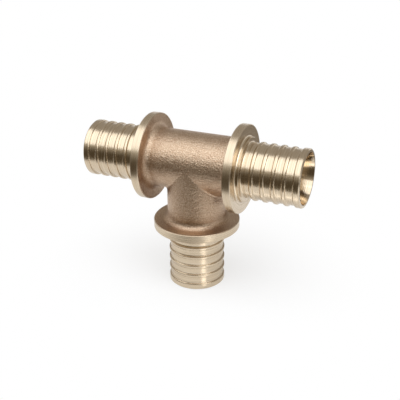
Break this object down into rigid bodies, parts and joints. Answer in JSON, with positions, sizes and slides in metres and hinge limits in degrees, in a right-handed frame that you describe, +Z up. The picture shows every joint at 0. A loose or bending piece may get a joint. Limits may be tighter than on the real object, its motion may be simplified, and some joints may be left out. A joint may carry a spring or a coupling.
{
  "type": "pex pipe tee",
  "caption": "Cast and turned brass tee that joins three plastic pipes, with a flange and a barbed stub on each arm for an expanded pipe and a pressed sleeve.",
  "frame": {"origin": "where the axes of the run and the branch cross", "axes": "+X along the run, -Z along the branch, +Z up; it stands on the branch's mouth"},
  "size_m": [0.1058, 0.041, 0.0814],
  "materials": {
    "gunmetal": "fine blasted casting grain on the tubes and the flanges' body sides; flange rims and faces, collars, stubs and mouths turned bright"
  },
  "bodies": {
    "root": {"tee_body": "gunmetal"}
  },
  "joints": []
}
